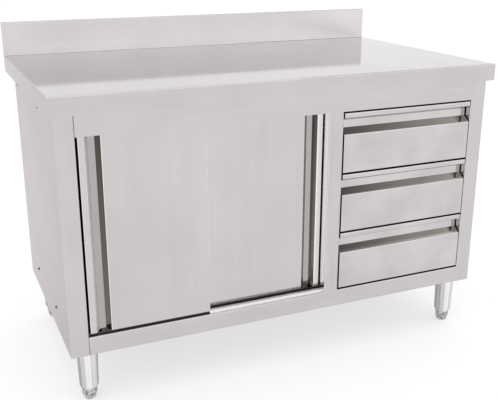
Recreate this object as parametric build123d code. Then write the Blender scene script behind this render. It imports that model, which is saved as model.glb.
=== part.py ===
from build123d import *
import os

# Stainless work cabinet: worktop with a backsplash, two sliding doors, three drawers, four adjustable legs.
# Millimetres. X runs along the length, Y from front to back, Z up. The origin is on the floor,
# under the middle of the worktop.

# Worktop
worktop_length = 1200.0
worktop_depth = 700.0
worktop_height = 780.0
apron_height = 45.0
apron_lip = 8.0
backsplash_height = 95.0
backsplash_return = 12.0
backsplash_hem = 15.0
backsplash_flange = 20.0
core_thickness = 18.0
core_margin = 15.0
core_front_gap = 5.0
core_rear_gap = 3.0

# Cabinet body
side_overhang = 13.0
front_overhang = 15.0
rear_overhang = 95.0
floor_clearance = 142.0
post_width = 46.0
middle_post_width = 41.0
drawer_bay_width = 399.0
top_rail_drop = 52.0
bottom_rail_height = 47.0
sheet = 1.5
bend = 1.5
corner_bend = 3.0
post_side_leg = 46.0
post_jamb_depth = 25.0
panel_return = 15.0
panel_foot_gap = 1.5
back_flange = 20.0
seat_gap = 1.0
sill_depth = 73.0
deck_flange = 26.0
channel_width = 60.0
angle_width = 30.0
angle_drop = 55.0
stiffener_width = 60.0
stiffener_depth = 25.5
stiffener_pitch = 240.0

# Sliding doors
left_door_width = 308.0
door_overlap = 20.0
door_thickness = 22.0
door_post_gap = 5.0
door_jamb_gap = 2.5
divider_gap = 6.0
door_face_gap = 1.5
door_track_gap = 4.0
door_bottom_gap = 8.0
door_top_lap = 17.0
grip_lip = 15.0
grip_near_slope = 10.5
grip_floor = 16.0
grip_far_slope = 12.0
grip_depth = 14.0

# Door running gear
track_wall = 1.5
track_height = 23.5
track_slot = 8.0
wheel_radius = 9.0
wheel_width = 5.0
wheel_ride = 0.3
axle_radius = 2.0
axle_fit = 0.05
wheel_side_gap = 0.5
hanger_plate = 2.0
hanger_width = 40.0
hanger_inset = 45.0
hanger_foot = 16.0
hanger_rise = 4.0
axle_head = 1.2
guide_width = 30.0
guide_thickness = 6.0
groove_width = 9.0
groove_rib = 1.0
groove_depth = 5.0
guide_drop_gap = 1.5
track_strip = 1.0
track_strip_edge = 10.0

# Drawers
drawer_gap = 4.0
drawer_side_gap = 3.0
drawer_count = 3
front_thickness = 24.0
pull_lip = 13.0
pull_upper_slope = 8.0
pull_wall = 20.5
pull_ramp = 15.5
pull_depth = 21.0
tray_sheet = 1.0
tray_lift = 12.0
tray_top_drop = 32.0
tray_rear_gap = 103.0

# Drawer slides, three nested channels a side
slide_rear_gap = 9.0
slide_width = 12.7
slide_height = 45.0
slide_sheet = 1.2
slide_fit = 0.6
slide_bend = 0.5
middle_web = 3.0
fixed_flange_gap = 3.7
middle_flange_gap = 2.2
inner_flange_gap = 5.5
slide_post_width = 40.0
slide_post_gap = 10.0

# Shelf behind the doors
shelf_height = 430.0
shelf_edge = 25.0
shelf_setback = 65.0
bracket_width = 20.0
bracket_drop = 30.0
bracket_end_gap = 15.0
shelf_side_gap = 2.0
shelf_rear_gap = 3.0

# Legs
leg_inset = 47.0
leg_top_radius = 26.0
leg_bottom_radius = 23.5
leg_wall = 1.5
leg_cap = 3.0
leg_chamfer_height = 8.0
leg_chamfer_width = 4.0
foot_radius = 19.0
foot_height = 29.5
foot_tip_radius = 11.0
foot_gap = 0.5
stem_radius = 8.0
stem_length = 60.0
stem_fit = 0.05
stud_radius = 6.0
stud_length = 18.0
insert_height = 16.0
foot_edge = 1.0
foot_tip_round = 3.0
foot_tip_rise = 1.2
foot_shoulder = 0.55
washer_radius = 12.0
washer_thickness = 1.6
nut_radius = 10.4
nut_height = 9.0

# Side screws, two in the upper row and two in the lower one
upper_screw_front = 200.0
upper_screw_rear = 55.0
upper_screw_drop = 41.5
lower_screw_front = 170.0
lower_screw_rear = 150.0
lower_screw_rise = 14.0
screw_head_radius = 5.5
screw_head_height = 2.6
screw_radius = 2.4
screw_length = 9.0
screw_slot_length = 5.6
screw_slot_width = 1.1
screw_slot_depth = 1.4
hole_fit = 0.1

# Places worked out from the sizes above
half_length = worktop_length / 2
half_depth = worktop_depth / 2
body_x = half_length - side_overhang
inner_x = body_x - sheet
front_y = -half_depth + front_overhang
rear_y = half_depth - rear_overhang
splash_y = half_depth - backsplash_return
apron_z = worktop_height - apron_height
core_z = worktop_height - sheet - core_thickness
opening_top = apron_z - top_rail_drop
opening_bottom = floor_clearance + bottom_rail_height
post_x = body_x - post_width
bay_x = post_x - drawer_bay_width
jamb_x = bay_x - middle_post_width
deck_z = opening_bottom - sheet
rail_back_y = front_y + sill_depth
back_panel_y = rear_y - 2 * sheet
door_one_y = front_y + sheet + door_face_gap
door_two_y = door_one_y + door_thickness + door_track_gap
jamb_back_y = door_two_y + door_thickness + divider_gap
door_split = -post_x + door_post_gap + left_door_width
door_bottom = opening_bottom + door_bottom_gap
door_top = opening_top + door_top_lap
track_top = core_z - sheet
lip_top = track_top - track_height + 2 * track_wall
wheel_z = lip_top + wheel_radius + wheel_ride
leg_x = body_x - leg_inset
leg_front_y = front_y + leg_inset
leg_rear_y = rear_y - leg_inset
front_height = (opening_top - opening_bottom - (drawer_count + 1) * drawer_gap) / drawer_count
front_back_y = front_y + front_thickness
tray_height = front_height - tray_lift - tray_top_drop
tray_back_y = back_panel_y - tray_rear_gap
slide_length = tray_back_y - front_back_y - tray_sheet - slide_rear_gap

os.makedirs("parts", exist_ok=True)


def save(name, shape):
    export_step(shape, f"parts/{name}.step")


def group(solids):
    return Compound(children=solids)


def block(x0, x1, y0, y1, z0, z1):
    corner = (Align.MIN, Align.MIN, Align.MIN)
    return Pos(x0, y0, z0) * Box(x1 - x0, y1 - y0, z1 - z0, align=corner)


def rod(radius, x, y, z, length, direction):
    turned = {"x": Rot(0, 90, 0), "y": Rot(-90, 0, 0), "z": Rot(0, 0, 0)}[direction]
    base = (Align.CENTER, Align.CENTER, Align.MIN)
    return Pos(x, y, z) * turned * Cylinder(radius, length, align=base)


def mirrored(shape):
    return mirror(shape, about=Plane.YZ)


def directions(path):
    points = [Vector(*point) for point in path]
    return [(end - start).normalized() for start, end in zip(points, points[1:])]


def moved_right(path, distance):
    """The path moved sideways by the sheet's thickness, with mitred corners."""
    normals = [Vector(d.Y, -d.X) for d in directions(path)]
    ends = [normals[0]] + normals
    starts = normals + [normals[-1]]
    moved = []
    for point, before, after in zip(path, ends, starts):
        mitre = (before + after) * (1 / (1 + before.dot(after)))
        moved.append((point[0] + mitre.X * distance, point[1] + mitre.Y * distance))
    return moved


def rounded(outline, corners):
    """Rounds the outline's corners; corners is a list of (point, radius)."""
    shape = make_face(Polyline(*outline, close=True))
    for radius in sorted({radius for _, radius in corners}):
        wanted = [Vector(*point) for point, size in corners if size == radius]
        picked = [v for v in shape.vertices() if any((Vector(*v) - w).length < 0.01 for w in wanted)]
        shape = fillet(picked, radius)
    return shape


def turns_right(path):
    steps = directions(path)
    return [a.X * b.Y - a.Y * b.X < 0 for a, b in zip(steps, steps[1:])]


def folded(path, thickness=sheet, radius=bend):
    """Section of a folded sheet: the path is its outer face, and the metal lies to the right."""
    inner = moved_right(path, thickness)
    corners = []
    for index, right in enumerate(turns_right(path), start=1):
        corners.append((path[index], radius + thickness if right else radius))
        corners.append((inner[index], radius if right else radius + thickness))
    return rounded(path + inner[::-1], corners)


def filled(path, thickness=sheet, radius=bend):
    """The whole area behind a folded sheet's outer face, for the cap that closes its end."""
    corners = []
    for index, right in enumerate(turns_right(path), start=1):
        corners.append((path[index], radius + thickness if right else radius))
    return rounded(path, corners)


def along_x(section, x0, x1):
    return extrude(Plane.YZ.offset(x0) * section, amount=x1 - x0)


def along_y(section, y0, y1):
    return extrude(Plane.XZ.offset(-y1) * section, amount=y1 - y0)


def along_z(section, z0, z1):
    return extrude(Plane.XY.offset(z0) * section, amount=z1 - z0)


# Worktop

def worktop_skin():
    """A pan with a folded apron, and the backsplash turned up from its rear edge."""
    pan = block(-half_length, half_length, -half_depth, splash_y + sheet, apron_z, worktop_height)
    rims = [e for e in pan.edges() if abs(e.center().Z - worktop_height) < 0.01 and e.center().Y < splash_y]
    pan = fillet(rims, bend + sheet)
    inside_x = half_length - sheet
    pan -= block(-inside_x, inside_x, -half_depth + sheet, half_depth, apron_z - 1, worktop_height - sheet)
    lip_x = inside_x - apron_lip
    lip = block(-inside_x, inside_x, -half_depth + sheet, splash_y + sheet, apron_z, apron_z + sheet)
    lip -= block(-lip_x, lip_x, -half_depth + sheet + apron_lip, half_depth, apron_z - 1, apron_z + sheet + 1)
    top_z = worktop_height + backsplash_height
    rise = [
        (splash_y - backsplash_flange, worktop_height),
        (splash_y, worktop_height),
        (splash_y, top_z),
        (half_depth, top_z),
        (half_depth, top_z - backsplash_hem),
    ]
    splash = along_x(folded(rise), -half_length, half_length)
    end = block(-half_length, -inside_x, splash_y + sheet, half_depth - sheet, apron_z, top_z - sheet)
    return pan + lip + splash + end + mirrored(end)


def worktop_core():
    x = half_length - core_margin
    y0, y1 = -half_depth + core_front_gap, splash_y - core_rear_gap
    return block(-x, x, y0, y1, core_z, core_z + core_thickness)


def worktop_stiffeners():
    """Two open channels under the core board, from one side angle to the other."""
    half = stiffener_width / 2
    low = core_z - stiffener_depth
    section = [(half, core_z), (half, low), (-half, low), (-half, core_z)]
    end = inner_x - angle_width - seat_gap
    rail = along_x(folded(section), -end, end)
    return group([Pos(0, side * stiffener_pitch / 2, 0) * rail for side in (-1, 1)])


# Cabinet body

def screw_places():
    high = core_z - upper_screw_drop
    low = opening_bottom + lower_screw_rise
    return [
        (front_y + upper_screw_front, high),
        (rear_y - upper_screw_rear, high),
        (front_y + lower_screw_front, low),
        (rear_y - lower_screw_rear, low),
    ]


def with_screw_holes(shape, side):
    for y, z in screw_places():
        x = side * body_x - 10
        shape -= rod(screw_radius + hole_fit, x, y, z, 20, "x")
    return shape


def side_panel_left():
    """Flat side with its front, rear and bottom edges turned in, and four screw holes."""
    panel_y = front_y + post_side_leg
    outer = [
        (-body_x + panel_return, panel_y),
        (-body_x, panel_y),
        (-body_x, rear_y),
        (-body_x + panel_return, rear_y),
    ]
    panel = along_z(folded(outer), floor_clearance, core_z)
    foot = block(-inner_x, -inner_x + panel_return - sheet, panel_y + sheet + panel_foot_gap, back_panel_y,
                 floor_clearance, floor_clearance + sheet)
    return with_screw_holes(panel + foot, -1)


def front_post_left():
    """Corner post: a jamb, the front face, a side leg flush with the side panel, and a return against it."""
    outer = [
        (-post_x, front_y + post_jamb_depth),
        (-post_x, front_y),
        (-body_x, front_y),
        (-body_x, front_y + post_side_leg),
        (-body_x + panel_return, front_y + post_side_leg),
    ]
    return along_z(folded(outer, radius=corner_bend - sheet), floor_clearance, core_z)


def middle_post():
    """Post between doors and drawers; its left jamb is as deep as both doors."""
    outer = [
        (bay_x, front_y + post_jamb_depth),
        (bay_x, front_y),
        (jamb_x, front_y),
        (jamb_x, jamb_back_y),
    ]
    return along_z(folded(outer), opening_bottom, opening_top)


def divider_panel():
    """Hollow partition behind the middle post."""
    outer = [
        (jamb_x, jamb_back_y),
        (jamb_x, back_panel_y),
        (bay_x, back_panel_y),
        (bay_x, front_y + post_jamb_depth),
    ]
    return along_z(folded(outer), opening_bottom, core_z - stiffener_depth)


def top_rail():
    section = [(front_y, opening_top), (front_y, core_z), (rail_back_y, core_z)]
    return along_x(folded(section), -post_x, post_x)


def bottom_rail():
    section = [
        (front_y + panel_return, floor_clearance),
        (front_y, floor_clearance),
        (front_y, opening_bottom),
        (rail_back_y, opening_bottom),
    ]
    return along_x(folded(section), -post_x, post_x)


def deck():
    """Cabinet floor with its sides and back turned up."""
    section = [
        (-inner_x, opening_bottom - sheet + deck_flange),
        (-inner_x, deck_z),
        (inner_x, deck_z),
        (inner_x, opening_bottom - sheet + deck_flange),
    ]
    floor = along_y(folded(section[::-1]), rail_back_y, back_panel_y)
    inside = inner_x - sheet
    back = block(-inside, inside, back_panel_y - sheet, back_panel_y, opening_bottom, deck_z + deck_flange)
    opening = block(jamb_x - 1, bay_x + 1, back_panel_y - sheet - 1, back_panel_y + 1,
                    opening_bottom, deck_z + deck_flange + 1)
    return with_screw_holes(with_screw_holes(floor + back - opening, -1), 1)


def back_panel():
    z0 = floor_clearance + sheet
    panel_x = inner_x - bend
    panel = block(-panel_x, panel_x, back_panel_y, back_panel_y + sheet, z0, core_z)
    low_x = leg_x - channel_width / 2 - seat_gap
    low = block(-low_x, low_x, back_panel_y - back_flange, back_panel_y, z0, z0 + sheet)
    high_x = inner_x - angle_width - seat_gap
    high = block(-high_x, high_x, back_panel_y - back_flange, back_panel_y, core_z - sheet, core_z)
    return panel + low + high


def base_channel_left():
    """Leg carrier under the deck, from the bottom rail to the back."""
    half = channel_width / 2
    x = -leg_x
    section = [
        (x + half, deck_z),
        (x + half, floor_clearance),
        (x - half, floor_clearance),
        (x - half, deck_z),
    ]
    channel = along_y(folded(section), front_y + post_side_leg + sheet + seat_gap, back_panel_y)
    for y in (leg_front_y, leg_rear_y):
        channel -= rod(stud_radius + hole_fit, x, y, floor_clearance - 1, sheet + 2, "z")
    return channel


def top_angle_left():
    """Angle inside the side panel that carries the worktop and takes the upper screws."""
    section = [
        (-inner_x, core_z - angle_drop),
        (-inner_x, core_z),
        (-inner_x + angle_width, core_z),
    ]
    start = front_y + post_side_leg + sheet + bend + seat_gap
    angle = along_y(folded(section), start, back_panel_y - back_flange - 2 * seat_gap)
    return with_screw_holes(angle, -1)


def slide_posts():
    """Two upright channels that bring the right side out to the drawer slides."""
    start = front_y + post_jamb_depth + slide_post_gap
    end_x = inner_x - sheet - bend
    posts = []
    for y in (start, start + slide_length - 2 * slide_post_width):
        section = [(end_x, y + slide_post_width), (post_x, y + slide_post_width), (post_x, y), (end_x, y)]
        posts.append(along_z(folded(section[::-1]), opening_bottom, core_z - angle_drop - seat_gap))
    return posts


def side_screw(side, y, z):
    head = Pos(side * body_x, y, z) * Rot(0, 90 * side, 0) * dome()
    shank = rod(screw_radius, side * (body_x - screw_length / 2) - screw_length / 2, y, z, screw_length, "x")
    return head + shank


def dome():
    """Low domed head with a cross recess, flat side down."""
    ball_radius = (screw_head_radius ** 2 + screw_head_height ** 2) / (2 * screw_head_height)
    ball = Pos(0, 0, screw_head_height - ball_radius) * Sphere(ball_radius)
    base = (Align.CENTER, Align.CENTER, Align.MIN)
    head = ball & Cylinder(screw_head_radius + 1, screw_head_height, align=base)
    for turn in (0, 90):
        slot = Rot(0, 0, turn) * Box(screw_slot_length, screw_slot_width, screw_slot_depth, align=base)
        head -= Pos(0, 0, screw_head_height - screw_slot_depth) * slot
    return head


def side_screws():
    return group([side_screw(side, y, z) for side in (-1, 1) for y, z in screw_places()])


# Shelf

def shelf():
    """Loose shelf with its four edges turned down, resting on two brackets."""
    x0, x1 = -inner_x + shelf_side_gap, jamb_x - shelf_side_gap
    y0, y1 = front_y + shelf_setback, back_panel_y - shelf_rear_gap
    tray = block(x0, x1, y0, y1, shelf_height - shelf_edge, shelf_height)
    tray -= block(x0 + sheet, x1 - sheet, y0 + sheet, y1 - sheet,
                  shelf_height - shelf_edge - 1, shelf_height - sheet)
    return tray


def shelf_brackets():
    y0, y1 = front_y + shelf_setback + bracket_end_gap, back_panel_y - bracket_end_gap
    seat = shelf_height - shelf_edge
    brackets = []
    for wall, inward in ((-inner_x, 1), (jamb_x, -1)):
        path = [(wall, seat - bracket_drop), (wall, seat), (wall + inward * bracket_width, seat)]
        section = folded(path if inward > 0 else path[::-1])
        brackets.append(along_y(section, y0, y1))
    return group(brackets)


# Legs

def leg_places():
    return {
        "front_left": (-leg_x, leg_front_y),
        "front_right": (leg_x, leg_front_y),
        "rear_left": (-leg_x, leg_rear_y),
        "rear_right": (leg_x, leg_rear_y),
    }


def turned(outline, x, y):
    section = make_face(Polyline(*[(r, 0, z) for r, z in outline], close=True))
    return Pos(x, y, 0) * revolve(section, axis=Axis.Z)


def leg(x, y):
    """Slightly tapered tube with a coned end, a welded cap and a threaded stud."""
    low = foot_height + foot_gap
    hole = stem_radius + 1
    inner_low = leg_bottom_radius - leg_wall
    outline = [
        (leg_top_radius, floor_clearance),
        (leg_bottom_radius, low + leg_chamfer_height),
        (leg_bottom_radius - leg_chamfer_width, low),
        (hole, low),
        (hole, low + leg_wall),
        (inner_low - leg_chamfer_width, low + leg_wall),
        (inner_low, low + leg_chamfer_height + leg_wall),
        (leg_top_radius - leg_wall, floor_clearance - leg_cap),
        (0, floor_clearance - leg_cap),
        (0, floor_clearance + stud_length),
        (stud_radius, floor_clearance + stud_length),
        (stud_radius, floor_clearance),
    ]
    return turned(outline, x, y)


def leg_insert(x, y):
    """Threaded plug inside the lower end of the tube."""
    low = foot_height + foot_gap + leg_wall
    wide = leg_bottom_radius - leg_wall - leg_chamfer_width
    outline = [
        (stem_radius + stem_fit, low),
        (wide, low),
        (wide, low + insert_height),
        (stem_radius + stem_fit, low + insert_height),
    ]
    return turned(outline, x, y)


def foot(x, y):
    """Bullet foot on its threaded stem."""
    outline = [
        (0, 0),
        (foot_tip_radius, 0),
        (foot_tip_radius + foot_tip_round, foot_tip_rise),
        (foot_radius, foot_shoulder * foot_height),
        (foot_radius, foot_height - foot_edge),
        (foot_radius - foot_edge, foot_height),
        (0, foot_height),
    ]
    return turned(outline, x, y) + rod(stem_radius, x, y, foot_height - 1, stem_length + 1, "z")


def leg_washer(x, y):
    low = floor_clearance + sheet
    ring = rod(washer_radius, x, y, low, washer_thickness, "z")
    return ring - rod(stud_radius + hole_fit, x, y, low - 1, washer_thickness + 2, "z")


def leg_nut(x, y):
    low = floor_clearance + sheet + washer_thickness
    hexagon = extrude(Pos(x, y, low) * RegularPolygon(nut_radius, 6), amount=nut_height)
    return hexagon - rod(stud_radius + hole_fit, x, y, low - 1, nut_height + 2, "z")


# Sliding doors

def door_section(outer_x, inner_end_x, face_y):
    """Plan of a door skin: returns, face and the pressed grip beside its outer edge."""
    inward = 1 if inner_end_x > outer_x else -1
    back_y = face_y + door_thickness - sheet
    floor_y = face_y + grip_depth
    stops = [grip_lip]
    for step in (grip_near_slope, grip_floor, grip_far_slope):
        stops.append(stops[-1] + step)
    lip_x, floor_start, floor_end, face_x = [outer_x + inward * stop for stop in stops]
    path = [
        (outer_x, back_y),
        (outer_x, face_y),
        (lip_x, face_y),
        (floor_start, floor_y),
        (floor_end, floor_y),
        (face_x, face_y),
        (inner_end_x, face_y),
        (inner_end_x, back_y),
    ]
    return path[::-1] if inward > 0 else path


def door_outer(outer_x, inner_end_x, face_y):
    path = door_section(outer_x, inner_end_x, face_y)
    skin = along_z(folded(path), door_bottom, door_top)
    cap = filled(path)
    skin += along_z(cap, door_bottom, door_bottom + sheet)
    return skin + along_z(cap, door_top - sheet, door_top)


def door_inner(outer_x, inner_end_x, face_y):
    x0, x1 = sorted((outer_x, inner_end_x))
    back_y = face_y + door_thickness
    return block(x0, x1, back_y - sheet, back_y, door_bottom, door_top)


def hanger_places(outer_x, inner_end_x):
    x0, x1 = sorted((outer_x, inner_end_x))
    return x0 + hanger_inset, x1 - hanger_inset


def door_hanger(x, y):
    """Angle screwed on the door's top, with the wheels' axle riveted through it."""
    half = hanger_width / 2
    foot_plate = block(x - half, x + half, y - hanger_foot / 2, y + hanger_foot / 2,
                       door_top, door_top + hanger_plate)
    upright = block(x - half, x + half, y - hanger_plate / 2, y + hanger_plate / 2,
                    door_top, wheel_z + axle_radius + hanger_rise)
    reach = hanger_plate / 2 + 2 * wheel_side_gap + wheel_width
    axle = rod(axle_radius, x, y - reach - axle_head, wheel_z, 2 * (reach + axle_head), "y")
    heads = rod(axle_radius + axle_head, x, y - reach - axle_head, wheel_z, axle_head, "y")
    heads += rod(axle_radius + axle_head, x, y + reach, wheel_z, axle_head, "y")
    return foot_plate + upright + axle + heads


def door_wheels(x, y):
    """The pair of wheels that turn on one axle."""
    start = hanger_plate / 2 + wheel_side_gap
    wheels = []
    for low in (y + start, y - start - wheel_width):
        wheel = rod(wheel_radius, x, low, wheel_z, wheel_width, "y")
        wheels.append(wheel - rod(axle_radius + axle_fit, x, low - 1, wheel_z, wheel_width + 2, "y"))
    return group(wheels)


def door_guide(x, y):
    """Plastic shoe that runs between two ribs of the bottom track."""
    low = opening_bottom + track_strip + guide_drop_gap
    half = guide_width / 2
    return block(x - half, x + half, y - guide_thickness / 2, y + guide_thickness / 2, low, door_bottom)


def track_centres():
    return [face_y + door_thickness / 2 for face_y in (door_one_y, door_two_y)]


def door_top_track():
    """Two slotted channels side by side, hung from the top rail's return."""
    low = track_top - track_height + track_wall
    first, second = track_centres()
    half_pitch = (second - first) / 2
    y0 = front_y + sheet + bend
    y1 = second + half_pitch
    beam = block(-post_x, jamb_x, y0, y1, low, track_top)
    middle = first + half_pitch
    for centre, a, b in ((first, y0, middle), (second, middle, y1)):
        beam -= block(-post_x - 1, jamb_x + 1, a + track_wall / (1 if a == y0 else 2),
                      b - track_wall / (1 if b == y1 else 2), lip_top, track_top - track_wall)
        beam -= block(-post_x - 1, jamb_x + 1, centre - track_slot / 2, centre + track_slot / 2,
                      low - 1, lip_top + 1)
    return beam


def door_bottom_track():
    """Flat strip on the sill with a pair of ribs under each door."""
    first, second = track_centres()
    strip = block(-post_x, jamb_x, first - track_strip_edge, second + track_strip_edge,
                  opening_bottom, opening_bottom + track_strip)
    for centre in (first, second):
        for edge in (centre - groove_width / 2 - groove_rib, centre + groove_width / 2):
            strip += block(-post_x, jamb_x, edge, edge + groove_rib,
                           opening_bottom, opening_bottom + track_strip + groove_depth)
    return strip


# Drawers

def drawer_bottom(index):
    """Lower edge of a drawer front; drawer 1 is the top one."""
    return opening_top - index * (front_height + drawer_gap)


def drawer_front(z0):
    """Folded front with the finger pull pressed in across its whole width."""
    z1 = z0 + front_height
    wall_y = front_y + pull_depth
    upper = z1 - pull_lip
    wall_top = upper - pull_upper_slope
    wall_low = wall_top - pull_wall
    path = [
        (front_back_y, z0),
        (front_y, z0),
        (front_y, wall_low - pull_ramp),
        (wall_y, wall_low),
        (wall_y, wall_top),
        (front_y, upper),
        (front_y, z1),
        (front_back_y, z1),
    ]
    x0, x1 = bay_x + drawer_side_gap, post_x - drawer_side_gap
    front = along_x(folded(path), x0, x1)
    cap = filled(path)
    return front + along_x(cap, x0, x0 + sheet) + along_x(cap, x1 - sheet, x1)


def drawer_tray(z0):
    """Open box with a front wall as large as the drawer front."""
    y0 = front_back_y
    x0, x1 = bay_x + slide_width, post_x - slide_width
    low = z0 + tray_lift
    tray = block(x0, x1, y0, tray_back_y, low, low + tray_height)
    tray -= block(x0 + tray_sheet, x1 - tray_sheet, y0 + tray_sheet, tray_back_y - tray_sheet,
                  low + tray_sheet, low + tray_height + 1)
    liner = block(bay_x + drawer_side_gap, post_x - drawer_side_gap, y0, y0 + tray_sheet,
                  z0, z0 + front_height)
    return tray + liner


def slide_channel(near, far, half_height, y0, length, centre_z):
    """One channel of a slide, its web at near and its two flanges reaching to far."""
    across = 1 if far > near else -1
    low, high = centre_z - half_height, centre_z + half_height
    path = [(far, low), (near, low), (near, high), (far, high)]
    section = folded(path if across > 0 else path[::-1], thickness=slide_sheet, radius=slide_bend)
    return along_y(section, y0, y0 + length)


def slide_pair(member, z0):
    """The left and right channels of one member: 0 fixed, 1 middle, 2 on the drawer."""
    centre_z = z0 + tray_lift + tray_height / 2
    half_height = slide_height / 2 - member * (slide_sheet + slide_fit)
    y0 = front_back_y + tray_sheet
    pair = []
    for wall, inward in ((bay_x, 1), (post_x, -1)):
        web = (0, middle_web, slide_width)[member]
        tip = (slide_width - fixed_flange_gap, slide_width - middle_flange_gap, inner_flange_gap)[member]
        near, far = wall + inward * web, wall + inward * tip
        pair.append(slide_channel(near, far, half_height, y0, slide_length, centre_z))
    return pair


# Build

save("worktop_skin", worktop_skin())
save("worktop_core", worktop_core())
save("worktop_stiffeners", worktop_stiffeners())
save("side_panel_left", side_panel_left())
save("side_panel_right", mirrored(side_panel_left()))
save("front_post_left", front_post_left())
save("front_post_right", mirrored(front_post_left()))
save("middle_post", middle_post())
save("divider_panel", divider_panel())
save("top_rail", top_rail())
save("bottom_rail", bottom_rail())
save("deck", deck())
save("back_panel", back_panel())
save("base_channel_left", base_channel_left())
save("base_channel_right", mirrored(base_channel_left()))
save("top_angle_left", top_angle_left())
save("top_angle_right", mirrored(top_angle_left()))
save("slide_posts", group(slide_posts()))
save("side_screws", side_screws())
save("shelf", shelf())
save("shelf_brackets", shelf_brackets())

for place, (x, y) in leg_places().items():
    save(f"leg_{place}", leg(x, y))
    save(f"foot_{place}", foot(x, y))
save("leg_inserts", group([leg_insert(x, y) for x, y in leg_places().values()]))
save("leg_washers", group([leg_washer(x, y) for x, y in leg_places().values()]))
save("leg_nuts", group([leg_nut(x, y) for x, y in leg_places().values()]))

save("door_top_track", door_top_track())
save("door_bottom_track", door_bottom_track())
doors = {
    "left": (-post_x + door_post_gap, door_split, door_one_y),
    "right": (jamb_x - door_jamb_gap, door_split - door_overlap, door_two_y),
}
for side, (outer_x, inner_end_x, face_y) in doors.items():
    centre_y = face_y + door_thickness / 2
    places = hanger_places(outer_x, inner_end_x)
    save(f"door_{side}_outer", door_outer(outer_x, inner_end_x, face_y))
    save(f"door_{side}_inner", door_inner(outer_x, inner_end_x, face_y))
    save(f"door_{side}_hangers", group([door_hanger(x, centre_y) for x in places]))
    save(f"door_{side}_guides", group([door_guide(x, centre_y) for x in places]))
    for number, x in enumerate(places, start=1):
        save(f"door_{side}_wheels_{number}", door_wheels(x, centre_y))

fixed_slides = []
for index in range(1, drawer_count + 1):
    z0 = drawer_bottom(index)
    save(f"drawer_{index}_front", drawer_front(z0))
    save(f"drawer_{index}_tray", drawer_tray(z0))
    save(f"drawer_{index}_slides", group(slide_pair(2, z0)))
    save(f"drawer_{index}_middle_slides", group(slide_pair(1, z0)))
    fixed_slides += slide_pair(0, z0)
save("fixed_slides", group(fixed_slides))
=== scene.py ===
import math

import bpy
import numpy as np
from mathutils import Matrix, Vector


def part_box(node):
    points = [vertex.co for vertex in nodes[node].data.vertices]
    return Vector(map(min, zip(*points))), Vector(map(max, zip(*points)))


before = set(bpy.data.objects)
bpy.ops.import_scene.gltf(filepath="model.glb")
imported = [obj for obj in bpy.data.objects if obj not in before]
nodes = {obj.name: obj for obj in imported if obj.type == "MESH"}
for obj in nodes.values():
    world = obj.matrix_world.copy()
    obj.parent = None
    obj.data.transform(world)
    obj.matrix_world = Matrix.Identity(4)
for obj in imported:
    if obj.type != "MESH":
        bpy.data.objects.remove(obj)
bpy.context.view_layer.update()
print("frame loaded:", len(nodes), "nodes")


def linear(hexCode):
    # sRGB hex to linear light, with alpha 1
    channels = [int(hexCode[i:i + 2], 16) / 255 for i in (1, 3, 5)]
    return tuple(c / 12.92 if c <= 0.04045 else ((c + 0.055) / 1.055) ** 2.4 for c in channels) + (1.0,)


def addNode(tree, kind, inputs=None, **settings):
    # settings are the node's own, inputs are values or the sockets that feed it
    node = tree.nodes.new(kind)
    for name, value in settings.items():
        setattr(node, name, value)
    for socket, value in (inputs or {}).items():
        if isinstance(value, bpy.types.NodeSocket):
            tree.links.new(value, node.inputs[socket])
        else:
            node.inputs[socket].default_value = value
    return node


def newMaterial(name):
    material = bpy.data.materials.new(name)
    material.use_nodes = True
    material.node_tree.nodes.clear()
    return material, material.node_tree


def closeMaterial(tree, shader):
    addNode(tree, "ShaderNodeOutputMaterial", {"Surface": shader.outputs[0]})


# the spans of a noise's values that a tone or roughness swings over; values past an end are held at it
strokeLow, strokeHigh = 0.3, 0.7
cloudLow, cloudHigh = 0.35, 0.65


sheetFinish = {
    "colour": "#C6C2C3",       # bare 1.4301, a little warm
    "toneSwing": 0.035,        # light and dark between strokes
    "haze": 0.025,             # light and dark clouds that rolling leaves
    "hazeSize": 170.0,         # mm
    "roughness": 0.13,
    "roughSwing": 0.08,
    "glancing": "#DEDAD9",     # share of the light left when the look skims the strokes and they shade each other
    "strokeWidth": 1.6,        # mm; real strokes are 0.1 to 0.3, drawn as coarse as they need to show
    "strokeLength": 120.0,     # mm
    "strokeDepth": 0.012,      # mm
    "bandWidth": 26.0,         # mm, the passes of the belt
    "bandStretch": 0.3,        # frequency of the passes along the grain, as a share of the strokes'
    "bandShare": 0.45,         # how much of the tone comes from the passes
    "endCosine": 0.6,          # past this a face counts as one that the grain axis goes into
    "waveSize": 420.0,         # mm, the slack of a thin sheet between its bends
    "waveDepth": 0.22,         # mm
}


wallCosines = (0.86, 0.96)     # a face fades into the wall between these
edgeCosines = (-0.5, -0.8)     # and into the painted highlight on the edge of a post between these
rimFade = 0.3                  # share of the rim's width over which it fades, each way
stepFade = 0.001               # m, how soft a step in tone is


def wallMask(tree, normal, faces):
    # 1 on a sloping wall that looks the given way
    length = math.sqrt(sum(c * c for c in faces))
    toward = addNode(tree, "ShaderNodeVectorMath",
                     {0: normal, 1: tuple(c / length for c in faces)}, operation="DOT_PRODUCT")
    return addNode(tree, "ShaderNodeMapRange",
                   {"Value": toward.outputs["Value"], "From Min": wallCosines[0],
                    "From Max": wallCosines[1]}).outputs[0]


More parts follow.
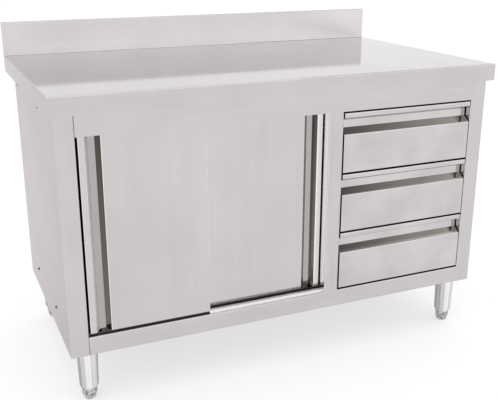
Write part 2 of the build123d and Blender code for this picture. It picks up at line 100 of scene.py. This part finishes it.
def paintGripShadeAndHighlight(tree, place, normal, press, belted, strokeTone):
    # The sloping wall of a pressed grip is drawn darker and uneven along its run, its rim bright and its floor greyer:
    # painted shade on the wall and floor, a painted highlight on the rim and on the strip beside the grip. A belt that
    # misses the wall and hands that rub the rim would leave it so, but the cause is a guess.
    along = addNode(tree, "ShaderNodeSeparateXYZ", {0: place})
    # painted shade on the sloping wall, changing along its run
    start, end = press["run"]
    run = addNode(tree, "ShaderNodeMapRange",
                  {"Value": along.outputs[press["runAxis"]], "From Min": start, "From Max": end,
                   "To Min": press["tones"][0], "To Max": press["tones"][1]})
    uneven = addNode(tree, "ShaderNodeMath", {0: run.outputs[0], 1: strokeTone}, operation="MULTIPLY")
    skin = addNode(tree, "ShaderNodeVectorMath",
                   {0: linear(press["skin"])[:3], "Scale": uneven.outputs[0]}, operation="SCALE")
    # a painted highlight along the rim of the sloping wall
    paintedHighlight = addNode(tree, "ShaderNodeMapRange",
                  {"Value": along.outputs[1], "From Min": press["faceY"] + press["rimWidth"] * (1 + rimFade),
                   "From Max": press["faceY"] + press["rimWidth"] * (1 - rimFade)})
    rubbed = addNode(tree, "ShaderNodeMix",
                     {"Factor": paintedHighlight.outputs[0], 6: skin.outputs[0], 7: linear(press["paintedHighlight"])}, data_type="RGBA")
    # painted shade on the floor of the grip
    low = addNode(tree, "ShaderNodeMapRange",
                  {"Value": along.outputs[1], "From Min": press["faceY"] + press["floorFrom"],
                   "From Max": press["faceY"] + press["floorFrom"] + stepFade,
                   "To Min": 1.0, "To Max": press["floorTone"]})
    faceWithPaintedLight = addNode(tree, "ShaderNodeVectorMath", {0: belted, "Scale": low.outputs[0]}, operation="SCALE").outputs[0]
    # a painted highlight on the strip beside the grip
    if "lip" in press:
        lip = addNode(tree, "ShaderNodeMapRange",
                      {"Value": along.outputs[0], "From Min": press["lip"]["from"], "From Max": press["lip"]["to"],
                       "To Max": press["lip"]["share"]})
        faceWithPaintedLight = addNode(tree, "ShaderNodeMix",
                         {"Factor": lip.outputs[0], 6: faceWithPaintedLight, 7: linear(press["paintedHighlight"])}, data_type="RGBA").outputs[2]
    return addNode(tree, "ShaderNodeMix",
                   {"Factor": wallMask(tree, normal, press["faces"]), 6: faceWithPaintedLight, 7: rubbed.outputs[2]},
                   data_type="RGBA").outputs[2]


def brushedSheet(name, grain, sideGrain, press=None, upstand=None, edgeHighlight=None, sillHighlight=None, finish=sheetFinish):
    # Stainless steel sheet, ground with a fine belt. The eye sees soft mirror images, drawn out across the strokes.
    # grain is the axis of the strokes, and sideGrain theirs on faces that the grain axis goes into
    material, tree = newMaterial(name)
    place = addNode(tree, "ShaderNodeTexCoord").outputs["Object"]
    normal = addNode(tree, "ShaderNodeNewGeometry").outputs["Normal"]
    facing = addNode(tree, "ShaderNodeSeparateXYZ", {0: normal})
    across, along = 1000 / finish["strokeWidth"], 1000 / finish["strokeLength"]
    band = 1000 / finish["bandWidth"]
    strokes, passes = [], []
    for axis in (grain, sideGrain):
        fine = tuple(along if a == axis else across for a in "XYZ")
        broad = tuple(along * finish["bandStretch"] if a == axis else band for a in "XYZ")
        for scale, made in ((fine, strokes), (broad, passes)):
            mapped = addNode(tree, "ShaderNodeMapping", {"Vector": place, "Scale": scale})
            made.append(addNode(tree, "ShaderNodeTexNoise",
                                {"Vector": mapped.outputs[0], "Scale": 1.0, "Detail": 2.0, "Roughness": 0.6}))
    end = addNode(tree, "ShaderNodeMath", {0: facing.outputs[grain]}, operation="ABSOLUTE")
    isEnd = addNode(tree, "ShaderNodeMath", {0: end.outputs[0], 1: finish["endCosine"]}, operation="GREATER_THAN")
    stroke, belt = [
        addNode(tree, "ShaderNodeMix", {"Factor": isEnd.outputs[0], "A": pair[0].outputs[0], "B": pair[1].outputs[0]})
        for pair in (strokes, passes)
    ]
    grind = addNode(tree, "ShaderNodeMix",
                    {"Factor": finish["bandShare"], "A": stroke.outputs[0], "B": belt.outputs[0]}).outputs[0]
    roughBy = grind
    tone = addNode(tree, "ShaderNodeMapRange",
                   {"Value": grind, "From Min": strokeLow, "From Max": strokeHigh,
                    "To Min": 1 - finish["toneSwing"], "To Max": 1 + finish["toneSwing"]})
    cloud = addNode(tree, "ShaderNodeTexNoise",
                    {"Vector": place, "Scale": 1000 / finish["hazeSize"], "Detail": 2.0})
    haze = addNode(tree, "ShaderNodeMapRange",
                   {"Value": cloud.outputs[0], "From Min": cloudLow, "From Max": cloudHigh,
                    "To Min": 1 - finish["haze"], "To Max": 1 + finish["haze"]})
    shade = addNode(tree, "ShaderNodeMath", {0: tone.outputs[0], 1: haze.outputs[0]}, operation="MULTIPLY")
    colour = addNode(tree, "ShaderNodeVectorMath",
                     {0: linear(finish["colour"])[:3], "Scale": shade.outputs[0]}, operation="SCALE").outputs[0]
    if edgeHighlight:
        # a painted highlight on the faces that look towards the doors
        sideways = addNode(tree, "ShaderNodeMapRange",
                           {"Value": facing.outputs["X"], "From Min": edgeCosines[0], "From Max": edgeCosines[1]})
        colour = addNode(tree, "ShaderNodeMix",
                         {"Factor": sideways.outputs[0], 6: colour, 7: linear(edgeHighlight)},
                         data_type="RGBA").outputs[2]
    if sillHighlight:
        # a painted highlight on the sill before the right door
        spot = addNode(tree, "ShaderNodeSeparateXYZ", {0: place})
        beside = addNode(tree, "ShaderNodeMath", {0: spot.outputs[0], 1: sillHighlight["fromX"]}, operation="GREATER_THAN")
        ahead = addNode(tree, "ShaderNodeMath", {0: spot.outputs[1], 1: sillHighlight["toY"]}, operation="LESS_THAN")
        # the painted highlight strip takes the rougher end of the sheet's range, and all the rest the smoother one
        roughBy = addNode(tree, "ShaderNodeMath",
                          {0: beside.outputs[0], 1: ahead.outputs[0]}, operation="MULTIPLY").outputs[0]
        colour = addNode(tree, "ShaderNodeMix",
                         {"Factor": roughBy, 6: colour, 7: linear(sillHighlight["colour"])},
                         data_type="RGBA").outputs[2]
    if press:
        # painted shade and painted highlights in the grip
        colour = paintGripShadeAndHighlight(tree, place, normal, press, colour, tone.outputs[0])
    rough = addNode(tree, "ShaderNodeMapRange",
                    {"Value": roughBy, "From Min": strokeLow, "From Max": strokeHigh,
                     "To Min": finish["roughness"] - finish["roughSwing"] / 2,
                     "To Max": finish["roughness"] + finish["roughSwing"] / 2})
    roughness, glancing = rough.outputs[0], linear(finish["glancing"])
    if press and "rubbedWall" in press:
        # a painted highlight on the wall across from the sloping one, which is drawn rougher too
        rubbed = press["rubbedWall"]
        near = wallMask(tree, normal, rubbed["faces"])
        colour = addNode(tree, "ShaderNodeMix", {"Factor": near, 6: colour, 7: linear(press["paintedHighlight"])},
                         data_type="RGBA").outputs[2]
        extra = addNode(tree, "ShaderNodeMath", {0: near, 1: rubbed["extraRoughness"]}, operation="MULTIPLY")
        roughness = addNode(tree, "ShaderNodeMath", {0: roughness, 1: extra.outputs[0]}).outputs[0]
    if upstand:
        glancing = addNode(tree, "ShaderNodeMix",
                           {"Factor": isEnd.outputs[0], 6: linear(upstand["flatGlancing"]), 7: glancing},
                           data_type="RGBA").outputs[2]
        high = addNode(tree, "ShaderNodeMath",
                       {0: addNode(tree, "ShaderNodeSeparateXYZ", {0: place}).outputs[2], 1: upstand["above"]},
                       operation="GREATER_THAN")
        extra = addNode(tree, "ShaderNodeMath",
                        {0: high.outputs[0], 1: upstand["extraRoughness"]}, operation="MULTIPLY")
        roughness = addNode(tree, "ShaderNodeMath", {0: roughness, 1: extra.outputs[0]}).outputs[0]
    slack = addNode(tree, "ShaderNodeTexNoise",
                    {"Vector": place, "Scale": 1000 / finish["waveSize"], "Detail": 1.0})
    wave = addNode(tree, "ShaderNodeBump",
                   {"Height": slack.outputs[0], "Strength": 1.0, "Distance": finish["waveDepth"] / 1000})
    bump = addNode(tree, "ShaderNodeBump",
                   {"Height": stroke.outputs[0], "Normal": wave.outputs[0], "Strength": 1.0,
                    "Distance": finish["strokeDepth"] / 1000})
    closeMaterial(tree, addNode(tree, "ShaderNodeBsdfPrincipled",
                                {"Base Color": colour, "Metallic": 1.0, "Specular Tint": glancing,
                                 "Roughness": roughness, "Normal": bump.outputs[0]}))
    return material


tubeFinish = {
    "colour": "#EAE8E9", "glancing": "#C8C8C8", "roughness": 0.16, "roughSwing": (-0.05, 0.07),
    "ringWidth": 1.5, "ringDepth": 0.010,     # mm
    "ringStretch": 14,                        # cycles a metre round the tube
    "ringTones": (0.95, 1.04),
    # painted shade on the sides
    "paintedSideShade": 0.60, "sideCosines": (0.35, 0.95),
    "reflectionBandTone": 0.22, "bandScale": 3.4,       # painted reflection bands that run down the tube
}


def satinTube(finish=tubeFinish):
    # Stainless tube, polished while it turned. Fine rings go round it, its front is bright from top to bottom, and its
    # sides are drawn greyer, as painted shade, with painted reflections in bands down it.
    material, tree = newMaterial("stainless_tube_satin_polished")
    place = addNode(tree, "ShaderNodeTexCoord").outputs["Object"]
    ring = 1000 / finish["ringWidth"]
    stretch = finish["ringStretch"]
    mapped = addNode(tree, "ShaderNodeMapping", {"Vector": place, "Scale": (stretch, stretch, ring)})
    rings = addNode(tree, "ShaderNodeTexNoise", {"Vector": mapped.outputs[0], "Scale": 1.0, "Detail": 2.0})
    rough = addNode(tree, "ShaderNodeMapRange",
                    {"Value": rings.outputs[0], "From Min": strokeLow, "From Max": strokeHigh,
                     "To Min": finish["roughness"] + finish["roughSwing"][0],
                     "To Max": finish["roughness"] + finish["roughSwing"][1]})
    tone = addNode(tree, "ShaderNodeMapRange",
                   {"Value": rings.outputs[0], "From Min": strokeLow, "From Max": strokeHigh,
                    "To Min": finish["ringTones"][0], "To Max": finish["ringTones"][1]})
    facing = addNode(tree, "ShaderNodeSeparateXYZ", {0: addNode(tree, "ShaderNodeNewGeometry").outputs["Normal"]})
    # painted shade: the sides that face along x are drawn greyer
    sideways = addNode(tree, "ShaderNodeMath", {0: facing.outputs[0]}, operation="ABSOLUTE")
    side = addNode(tree, "ShaderNodeMapRange",
                   {"Value": sideways.outputs[0], "From Min": finish["sideCosines"][0],
                    "From Max": finish["sideCosines"][1], "To Min": 1.0, "To Max": finish["paintedSideShade"]},
                   interpolation_type="SMOOTHSTEP")
    # painted reflections: noise read by the way a face looks gives bands that run down the tube
    reflectionBands = addNode(tree, "ShaderNodeTexNoise",
                    {"Vector": addNode(tree, "ShaderNodeNewGeometry").outputs["Normal"],
                     "Scale": finish["bandScale"], "Detail": 1.0})
    band = addNode(tree, "ShaderNodeMapRange",
                   {"Value": reflectionBands.outputs[0], "From Min": cloudLow, "From Max": cloudHigh,
                    "To Min": 1 - finish["reflectionBandTone"], "To Max": 1 + finish["reflectionBandTone"] / 2})
    lit = addNode(tree, "ShaderNodeMath", {0: tone.outputs[0], 1: band.outputs[0]}, operation="MULTIPLY")
    both = addNode(tree, "ShaderNodeMath", {0: lit.outputs[0], 1: side.outputs[0]}, operation="MULTIPLY")
    colour = addNode(tree, "ShaderNodeVectorMath",
                     {0: linear(finish["colour"])[:3], "Scale": both.outputs[0]}, operation="SCALE")
    bump = addNode(tree, "ShaderNodeBump",
                   {"Height": rings.outputs[0], "Strength": 1.0, "Distance": finish["ringDepth"] / 1000})
    closeMaterial(tree, addNode(tree, "ShaderNodeBsdfPrincipled",
                                {"Base Color": colour.outputs[0], "Metallic": 1.0,
                                 "Specular Tint": linear(finish["glancing"]),
                                 "Roughness": rough.outputs[0], "Normal": bump.outputs[0]}))
    return material


zincFinish = {
    "colour": "#B4BAC1", "tint": "#C3C0AE", "tintShare": 0.6, "roughness": 0.34, "roughSwing": (-0.07, 0.09),
    "cloudSize": 60, "grainSize": 5.0, "grainDepth": 0.03,     # mm
}


def zincPlate(finish=zincFinish):
    # Rolled steel, zinc plated and passivated. The eye sees a cool grey with a faint yellow and blue cloud.
    material, tree = newMaterial("zinc_plated_rolled_steel")
    place = addNode(tree, "ShaderNodeTexCoord").outputs["Object"]
    cloud = addNode(tree, "ShaderNodeTexNoise", {"Vector": place, "Scale": 1000 / finish["cloudSize"], "Detail": 3.0})
    grit = addNode(tree, "ShaderNodeTexNoise", {"Vector": place, "Scale": 1000 / finish["grainSize"], "Detail": 2.0})
    share = addNode(tree, "ShaderNodeMapRange",
                    {"Value": cloud.outputs[0], "From Min": cloudLow, "From Max": cloudHigh, "To Min": 0.0,
                     "To Max": finish["tintShare"]})
    colour = addNode(tree, "ShaderNodeMix",
                     {"Factor": share.outputs[0], 6: linear(finish["colour"]), 7: linear(finish["tint"])},
                     data_type="RGBA")
    rough = addNode(tree, "ShaderNodeMapRange",
                    {"Value": grit.outputs[0], "From Min": strokeLow, "From Max": strokeHigh,
                     "To Min": finish["roughness"] + finish["roughSwing"][0],
                     "To Max": finish["roughness"] + finish["roughSwing"][1]})
    bump = addNode(tree, "ShaderNodeBump",
                   {"Height": grit.outputs[0], "Strength": 1.0, "Distance": finish["grainDepth"] / 1000})
    closeMaterial(tree, addNode(tree, "ShaderNodeBsdfPrincipled",
                                {"Base Color": colour.outputs[2], "Metallic": 1.0,
                                 "Roughness": rough.outputs[0], "Normal": bump.outputs[0]}))
    return material


turnedFinish = {
    "colour": "#BDBDBF", "roughness": 0.16, "roughSwing": (-0.06, 0.14),
    "grooveWidth": 0.8, "grooveDepth": 0.02, "scuffSize": 9.0,     # mm
    "grooveStretch": 60,                                          # cycles a metre round the bar
    "scuffSpan": (0.42, 0.60), "cleanTone": 1.12, "scuffTone": 0.45,
    "roughSpan": (0.35, 0.7),
}


def turnedSteel(name, finish=turnedFinish):
    # Free-cutting stainless bar, turned. It is brighter than the sheet, with tool marks and handling scuffs.
    material, tree = newMaterial(name)
    place = addNode(tree, "ShaderNodeTexCoord").outputs["Object"]
    stretch = finish["grooveStretch"]
    mapped = addNode(tree, "ShaderNodeMapping",
                     {"Vector": place, "Scale": (stretch, stretch, 1000 / finish["grooveWidth"])})
    marks = addNode(tree, "ShaderNodeTexNoise", {"Vector": mapped.outputs[0], "Scale": 1.0, "Detail": 2.0})
    scuffs = addNode(tree, "ShaderNodeTexNoise", {"Vector": place, "Scale": 1000 / finish["scuffSize"], "Detail": 3.0})
    rough = addNode(tree, "ShaderNodeMapRange",
                    {"Value": scuffs.outputs[0], "From Min": finish["roughSpan"][0], "From Max": finish["roughSpan"][1],
                     "To Min": finish["roughness"] + finish["roughSwing"][0],
                     "To Max": finish["roughness"] + finish["roughSwing"][1]})
    tone = addNode(tree, "ShaderNodeMapRange",
                   {"Value": scuffs.outputs[0], "From Min": finish["scuffSpan"][0],
                    "From Max": finish["scuffSpan"][1], "To Min": finish["cleanTone"], "To Max": finish["scuffTone"]})
    colour = addNode(tree, "ShaderNodeVectorMath",
                     {0: linear(finish["colour"])[:3], "Scale": tone.outputs[0]}, operation="SCALE")
    bump = addNode(tree, "ShaderNodeBump",
                   {"Height": marks.outputs[0], "Strength": 1.0, "Distance": finish["grooveDepth"] / 1000})
    closeMaterial(tree, addNode(tree, "ShaderNodeBsdfPrincipled",
                                {"Base Color": colour.outputs[0], "Metallic": 1.0,
                                 "Roughness": rough.outputs[0], "Normal": bump.outputs[0]}))
    return material


nylonFinish = {
    "colour": "#E9E7DD", "cloud": "#DAD7C8", "roughness": 0.42, "roughSwing": (-0.08, 0.1), "ior": 1.53,
    "pitSize": 1.2, "pitDepth": 0.03, "cloudSize": 15,     # mm
    "glow": 0.08, "glowDepth": 0.002,                      # light that goes in and comes out again, m
}


def mouldedNylon(name, finish=nylonFinish):
    # Nylon, injection moulded. It looks like candle wax, with the fine etch of the mould.
    material, tree = newMaterial(name)
    place = addNode(tree, "ShaderNodeTexCoord").outputs["Object"]
    etch = addNode(tree, "ShaderNodeTexNoise", {"Vector": place, "Scale": 1000 / finish["pitSize"], "Detail": 2.0})
    cloud = addNode(tree, "ShaderNodeTexNoise", {"Vector": place, "Scale": 1000 / finish["cloudSize"], "Detail": 2.0})
    colour = addNode(tree, "ShaderNodeMix",
                     {"Factor": cloud.outputs[0], 6: linear(finish["colour"]), 7: linear(finish["cloud"])},
                     data_type="RGBA")
    rough = addNode(tree, "ShaderNodeMapRange",
                    {"Value": etch.outputs[0], "To Min": finish["roughness"] + finish["roughSwing"][0],
                     "To Max": finish["roughness"] + finish["roughSwing"][1]})
    bump = addNode(tree, "ShaderNodeBump",
                   {"Height": etch.outputs[0], "Strength": 1.0, "Distance": finish["pitDepth"] / 1000})
    closeMaterial(tree, addNode(tree, "ShaderNodeBsdfPrincipled",
                                {"Base Color": colour.outputs[2], "Roughness": rough.outputs[0], "IOR": finish["ior"],
                                 "Subsurface Weight": finish["glow"], "Subsurface Scale": finish["glowDepth"],
                                 "Normal": bump.outputs[0]}))
    return material


boardFinish = {
    "light": "#CDB288", "dark": "#8D6A41", "roughness": 0.72, "roughSwing": (-0.08, 0.1),
    "chipSize": 3.5, "flakeSize": 1.6, "flakeDepth": 0.2,     # mm
}


def pressedBoard(finish=boardFinish):
    # Chipboard, pressed from softwood chips. It is mottled in pale and brown flakes and dull.
    material, tree = newMaterial("chipboard_pressed")
    place = addNode(tree, "ShaderNodeTexCoord").outputs["Object"]
    chips = addNode(tree, "ShaderNodeTexVoronoi", {"Vector": place, "Scale": 1000 / finish["chipSize"]})
    flakes = addNode(tree, "ShaderNodeTexNoise", {"Vector": place, "Scale": 1000 / finish["flakeSize"], "Detail": 3.0})
    share = addNode(tree, "ShaderNodeMix",
                    {"Factor": 0.5, "A": addNode(tree, "ShaderNodeSeparateColor",
                                                 {0: chips.outputs["Color"]}).outputs[0],
                     "B": flakes.outputs[0]})
    colour = addNode(tree, "ShaderNodeMix",
                     {"Factor": share.outputs[0], 6: linear(finish["light"]), 7: linear(finish["dark"])},
                     data_type="RGBA")
    rough = addNode(tree, "ShaderNodeMapRange",
                    {"Value": flakes.outputs[0], "To Min": finish["roughness"] + finish["roughSwing"][0],
                     "To Max": finish["roughness"] + finish["roughSwing"][1]})
    bump = addNode(tree, "ShaderNodeBump",
                   {"Height": flakes.outputs[0], "Strength": 1.0, "Distance": finish["flakeDepth"] / 1000})
    closeMaterial(tree, addNode(tree, "ShaderNodeBsdfPrincipled",
                                {"Base Color": colour.outputs[2], "Roughness": rough.outputs[0],
                                 "Normal": bump.outputs[0]}))
    return material


sheetAlongX = brushedSheet("stainless_sheet_brushed_along_x", "X", "Y")
sheetAlongZ = brushedSheet("stainless_sheet_brushed_along_z", "Z", "X")
sheetAlongY = brushedSheet("stainless_sheet_brushed_along_y", "Y", "Z")
# the worktop mirrors more sharply than its upstand, which is drawn rougher
upstandHeight = 0.0935
worktopSheet = brushedSheet("stainless_sheet_worktop", "X", "Y",
                            upstand={"above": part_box("worktop_skin")[1].z - upstandHeight,
                                     "extraRoughness": 0.22, "flatGlancing": "#F0F0F0"},
                            finish=dict(sheetFinish, roughness=0.06, roughSwing=0.03, waveDepth=0.06))

gripPress = {
    "faces": (-14, -12, 0),             # the way its sloping wall looks
    "skin": "#A5A099", "tones": (0.46, 0.22),   # painted shade on the sloping wall, at the foot and the head of the door
    # painted highlight along the rim
    "paintedHighlight": "#F2F1F0", "rimWidth": 0.0012,
    # painted shade on the floor of the grip
    "floorFrom": 0.0105, "floorTone": 0.70,
    "lipWidth": 0.0245,                 # the strip beside the grip has a painted highlight, most on the right door
}
pullPress = {
    "faces": (0, -15.5, 21),
    "skin": "#A6A29D", "tones": (0.30, 1.40),   # painted shade on the sloping wall, darker at its left end than at its right end
    # painted highlight along the rim
    "paintedHighlight": "#DAD8D8", "rimWidth": 0.0012,
    "floorFrom": 0.030, "floorTone": 1.0,
}


def pressedDoor(side):
    low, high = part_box(f"door_{side}_outer")
    width = gripPress["lipWidth"]
    # a painted highlight on the strip beside the grip, faint on the left door and strong on the right
    lip = {"left": {"from": low.x + width + stepFade, "to": low.x + width, "share": 0.04},
           "right": {"from": high.x - width - stepFade, "to": high.x - width, "share": 0.70}}[side]
    press = dict(gripPress, faceY=low.y, runAxis=2, run=(low.z, high.z), lip=lip)
    if side == "left":
        # the wall across from the sloping one is matt, as if fingers had dulled it, and carries a painted highlight
        press["rubbedWall"] = {"faces": (14, -12, 0), "extraRoughness": 0.45}
    return brushedSheet(f"stainless_sheet_pressed_door_{side}", "Z", "X", press)


def pressedDrawer():
    low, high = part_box("drawer_1_front")
    press = dict(pullPress, faceY=low.y, runAxis=0, run=(low.x, high.x))
    return brushedSheet("stainless_sheet_pressed_drawer", "X", "Y", press,
                        finish=dict(sheetFinish, haze=0.06, hazeSize=110.0))


# the tracks are drawn dull and dark, as painted shade, and the sill before the right door bright, as a painted
# highlight
trackSheet = brushedSheet("stainless_track_dull_painted_shade", "X", "Y",
                          sillHighlight={"fromX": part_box("door_left_outer")[1].x, "toY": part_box("door_right_outer")[0].y,
                                 "colour": "#F4F2F2"},
                          finish=dict(sheetFinish, colour="#5E5B59", roughness=0.3))
# the middle post, with a painted highlight on its edges that look towards the doors
postEdge = brushedSheet("stainless_sheet_post_with_bright_edge", "Z", "X", edgeHighlight="#EEEDEC",
                        finish=dict(sheetFinish, haze=0.05))

pressedSheets = {f"door_{side}_outer": pressedDoor(side) for side in ("left", "right")}
pressedSheets.update(dict.fromkeys([f"drawer_{i}_front" for i in (1, 2, 3)], pressedDrawer()))
tube, zinc = satinTube(), zincPlate()
turned = turnedSteel("stainless_bar_turned")
# the screw heads are drawn far darker than the bar, as painted shade
screwSteel = turnedSteel("stainless_screw_headed", dict(turnedFinish, colour="#77767A", scuffSize=3.0))
nylon, board = mouldedNylon("natural_nylon_moulded"), pressedBoard()
greyNylon = mouldedNylon("grey_nylon_moulded", dict(nylonFinish, colour="#5A5956", cloud="#4C4B49"))

acrossSheets = ("worktop_stiffeners", "top_rail", "bottom_rail", "deck", "back_panel", "shelf")
alongSheets = ("drawer_1_tray", "drawer_2_tray", "drawer_3_tray", "base_channel_left", "base_channel_right",
               "top_angle_left", "top_angle_right", "shelf_brackets")
plainFinishes = {"leg_steel": tube, "zinc_steel": zinc, "fastener_steel": turned, "nylon": nylon, "chipboard": board}


def finishFor(name, slotName):
    if name.endswith("guides"):
        return greyNylon
    if name.startswith("foot_"):
        return turned
    if name == "side_screws":
        return screwSteel
    if name.endswith("_track"):
        return trackSheet
    if name == "middle_post":
        return postEdge
    if slotName in plainFinishes:
        return plainFinishes[slotName]
    if name == "worktop_skin":
        return worktopSheet
    if name in pressedSheets:
        return pressedSheets[name]
    if name in acrossSheets:
        return sheetAlongX
    return sheetAlongY if name in alongSheets else sheetAlongZ


for name, node in nodes.items():
    for slot in node.material_slots:
        slotName = slot.material.name.split(".")[0] if slot.material else "stainless"
        slot.material = finishFor(name, slotName)
print("finishes laid on")


studio = {
    "floorHeight": 0.0, "floorSize": 60.0, "floorColour": "#BDBDBD", "floorGlow": 0.54,
    "floorRoughness": 0.9, "floorSpecular": 0.1,
    "round": 1.04, "zenith": 1.0,
    "zenithSpan": (0.45, 0.95),         # sines of height
    "frontSpan": (-0.1, -0.7),          # y of the way that is looked, which falls towards the front
    "frontBand": {"strength": 2.25, "full": 0.085, "fades": 0.17},   # full and fades are heights as sines
    "backBand": {"strength": 1.18, "full": 0.14, "fades": 0.26},
}


def makeFloor(settings=studio):
    # a flat grid: x and y run over the size, z is the floor's height
    half = settings["floorSize"] / 2
    line = np.linspace(-half, half, 3)
    x, y = np.meshgrid(line, line)
    points = np.stack([x, y, np.full_like(x, settings["floorHeight"])], -1).reshape(-1, 3)
    faces = [(i, i + 1, i + 4, i + 3) for i in (0, 1, 3, 4)]
    mesh = bpy.data.meshes.new("studio_floor")
    mesh.from_pydata(points.tolist(), [], faces)
    floor = bpy.data.objects.new("studio_floor", mesh)
    bpy.context.scene.collection.objects.link(floor)
    material, tree = newMaterial("studio_floor_paper")
    # a light table: white acrylic, lit from below as well as from above
    closeMaterial(tree, addNode(tree, "ShaderNodeBsdfPrincipled",
                                {"Base Color": linear(settings["floorColour"]),
                                 "Roughness": settings["floorRoughness"],
                                 "Specular IOR Level": settings["floorSpecular"],
                                 "Emission Color": (1.0, 1.0, 1.0, 1.0),
                                 "Emission Strength": settings["floorGlow"]}))
    mesh.materials.append(material)


def makeSky(settings=studio):
    # even white all round, with a brighter band low down, brightest in front
    world = bpy.data.worlds.new("studio")
    bpy.context.scene.world = world
    world.use_nodes = True
    tree = world.node_tree
    tree.nodes.clear()
    way = addNode(tree, "ShaderNodeSeparateXYZ", {0: addNode(tree, "ShaderNodeTexCoord").outputs["Generated"]})
    up = addNode(tree, "ShaderNodeMapRange",
                 {"Value": way.outputs[2], "From Min": settings["zenithSpan"][0],
                  "From Max": settings["zenithSpan"][1],
                  "To Min": settings["round"], "To Max": settings["zenith"]}, interpolation_type="SMOOTHSTEP")
    front = addNode(tree, "ShaderNodeMapRange",
                    {"Value": way.outputs[1], "From Min": settings["frontSpan"][0],
                     "From Max": settings["frontSpan"][1], "To Min": 0.0, "To Max": 1.0},
                    interpolation_type="SMOOTHSTEP")
    sides = []
    for band in (settings["backBand"], settings["frontBand"]):
        low = addNode(tree, "ShaderNodeMapRange",
                      {"Value": way.outputs[2], "From Min": band["fades"], "From Max": band["full"]},
                      interpolation_type="SMOOTHSTEP")
        sides.append(addNode(tree, "ShaderNodeMix",
                             {"Factor": low.outputs[0], "A": up.outputs[0], "B": band["strength"]}).outputs[0])
    strength = addNode(tree, "ShaderNodeMix", {"Factor": front.outputs[0], "A": sides[0], "B": sides[1]})
    back = addNode(tree, "ShaderNodeBackground", {"Color": (1, 1, 1, 1), "Strength": strength.outputs[0]})
    addNode(tree, "ShaderNodeOutputWorld", {"Surface": back.outputs[0]})


softboxes = {
    "overhead_softbox": {"at": (0.0, -0.6, 3.6), "size": (3.0, 2.4), "power": 10, "aimHeight": 0.4},
}


def makeLights():
    for name, box in softboxes.items():
        light = bpy.data.lights.new(name, "AREA")
        light.shape = "RECTANGLE"
        light.size, light.size_y = box["size"]
        light.energy = box["power"]
        lamp = bpy.data.objects.new(name, light)
        bpy.context.scene.collection.objects.link(lamp)
        x, y, z = box["at"]
        lamp.location = box["at"]
        away = math.hypot(x, y)
        lamp.rotation_euler = (math.atan2(away, z - box["aimHeight"]), 0, math.atan2(-x, y) + math.pi)


viewer = {
    "at": (-0.8545, -2.0101, 1.0902), "turn": 23.58, "tilt": 18.38,     # m and degrees
    "lens": 774.3, "frameWide": 497,                                  # in one unit, so only their ratio counts
    "sensor": 36.0, "farthest": 200.0,                                # mm and m
}


def makeCamera(settings=viewer):
    camera = bpy.data.cameras.new("viewer")
    camera.sensor_width = settings["sensor"]
    camera.lens = settings["lens"] / settings["frameWide"] * settings["sensor"]
    camera.clip_end = settings["farthest"]
    eye = bpy.data.objects.new("viewer", camera)
    bpy.context.scene.collection.objects.link(eye)
    eye.location = settings["at"]
    eye.rotation_euler = (math.radians(90 - settings["tilt"]), 0, -math.radians(settings["turn"]))
    bpy.context.scene.camera = eye


makeFloor()
makeSky()
makeLights()
makeCamera()
bpy.context.scene.view_settings.view_transform = "Standard"
print("studio set")
